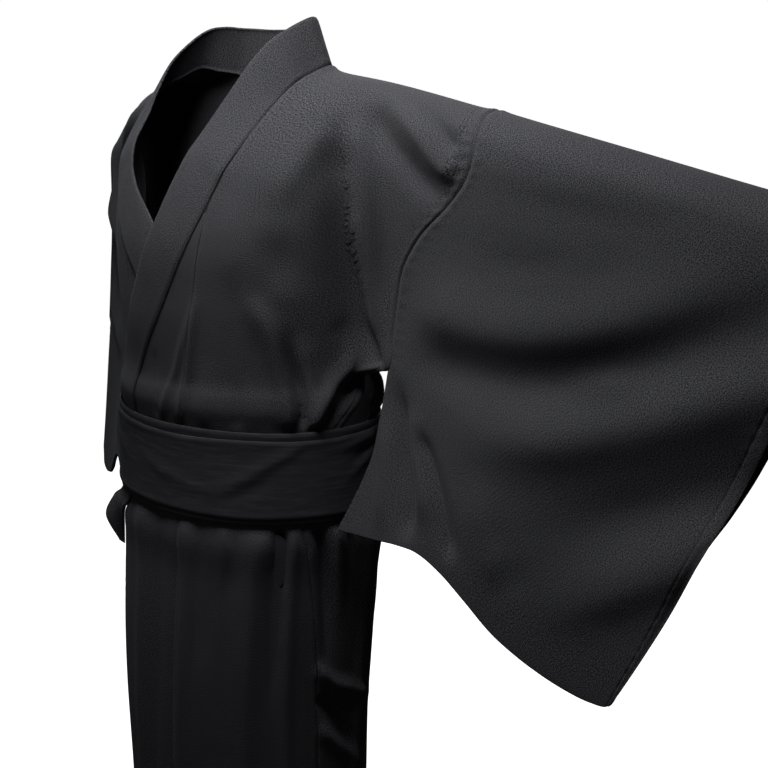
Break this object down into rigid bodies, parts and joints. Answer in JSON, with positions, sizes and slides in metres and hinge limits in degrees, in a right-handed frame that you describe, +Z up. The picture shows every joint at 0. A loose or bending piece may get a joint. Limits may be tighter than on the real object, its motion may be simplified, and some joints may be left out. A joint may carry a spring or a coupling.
{
  "type": "yukata robe",
  "caption": "Black cotton yukata robe with wide sleeves, worn left side over right and tied with a plain black sash.",
  "frame": {"origin": "the neck's centre, level with the points where the collar crosses the shoulders", "axes": "+X to the wearer's left, -Y to the front, +Z up"},
  "size_m": [1.226, 0.4277, 1.3511],
  "materials": {
    "body_cotton": "matte black cotton cloth, fine crepe-like grain",
    "sash_cotton": "smoother black cotton cloth, slightly rubbed"
  },
  "bodies": {
    "root": {"body_left": "body_cotton", "body_right": "body_cotton", "okumi_left": "body_cotton", "okumi_right": "body_cotton", "collar": "body_cotton", "sleeve_left": "body_cotton", "sleeve_right": "body_cotton", "sash": "sash_cotton"}
  },
  "joints": []
}
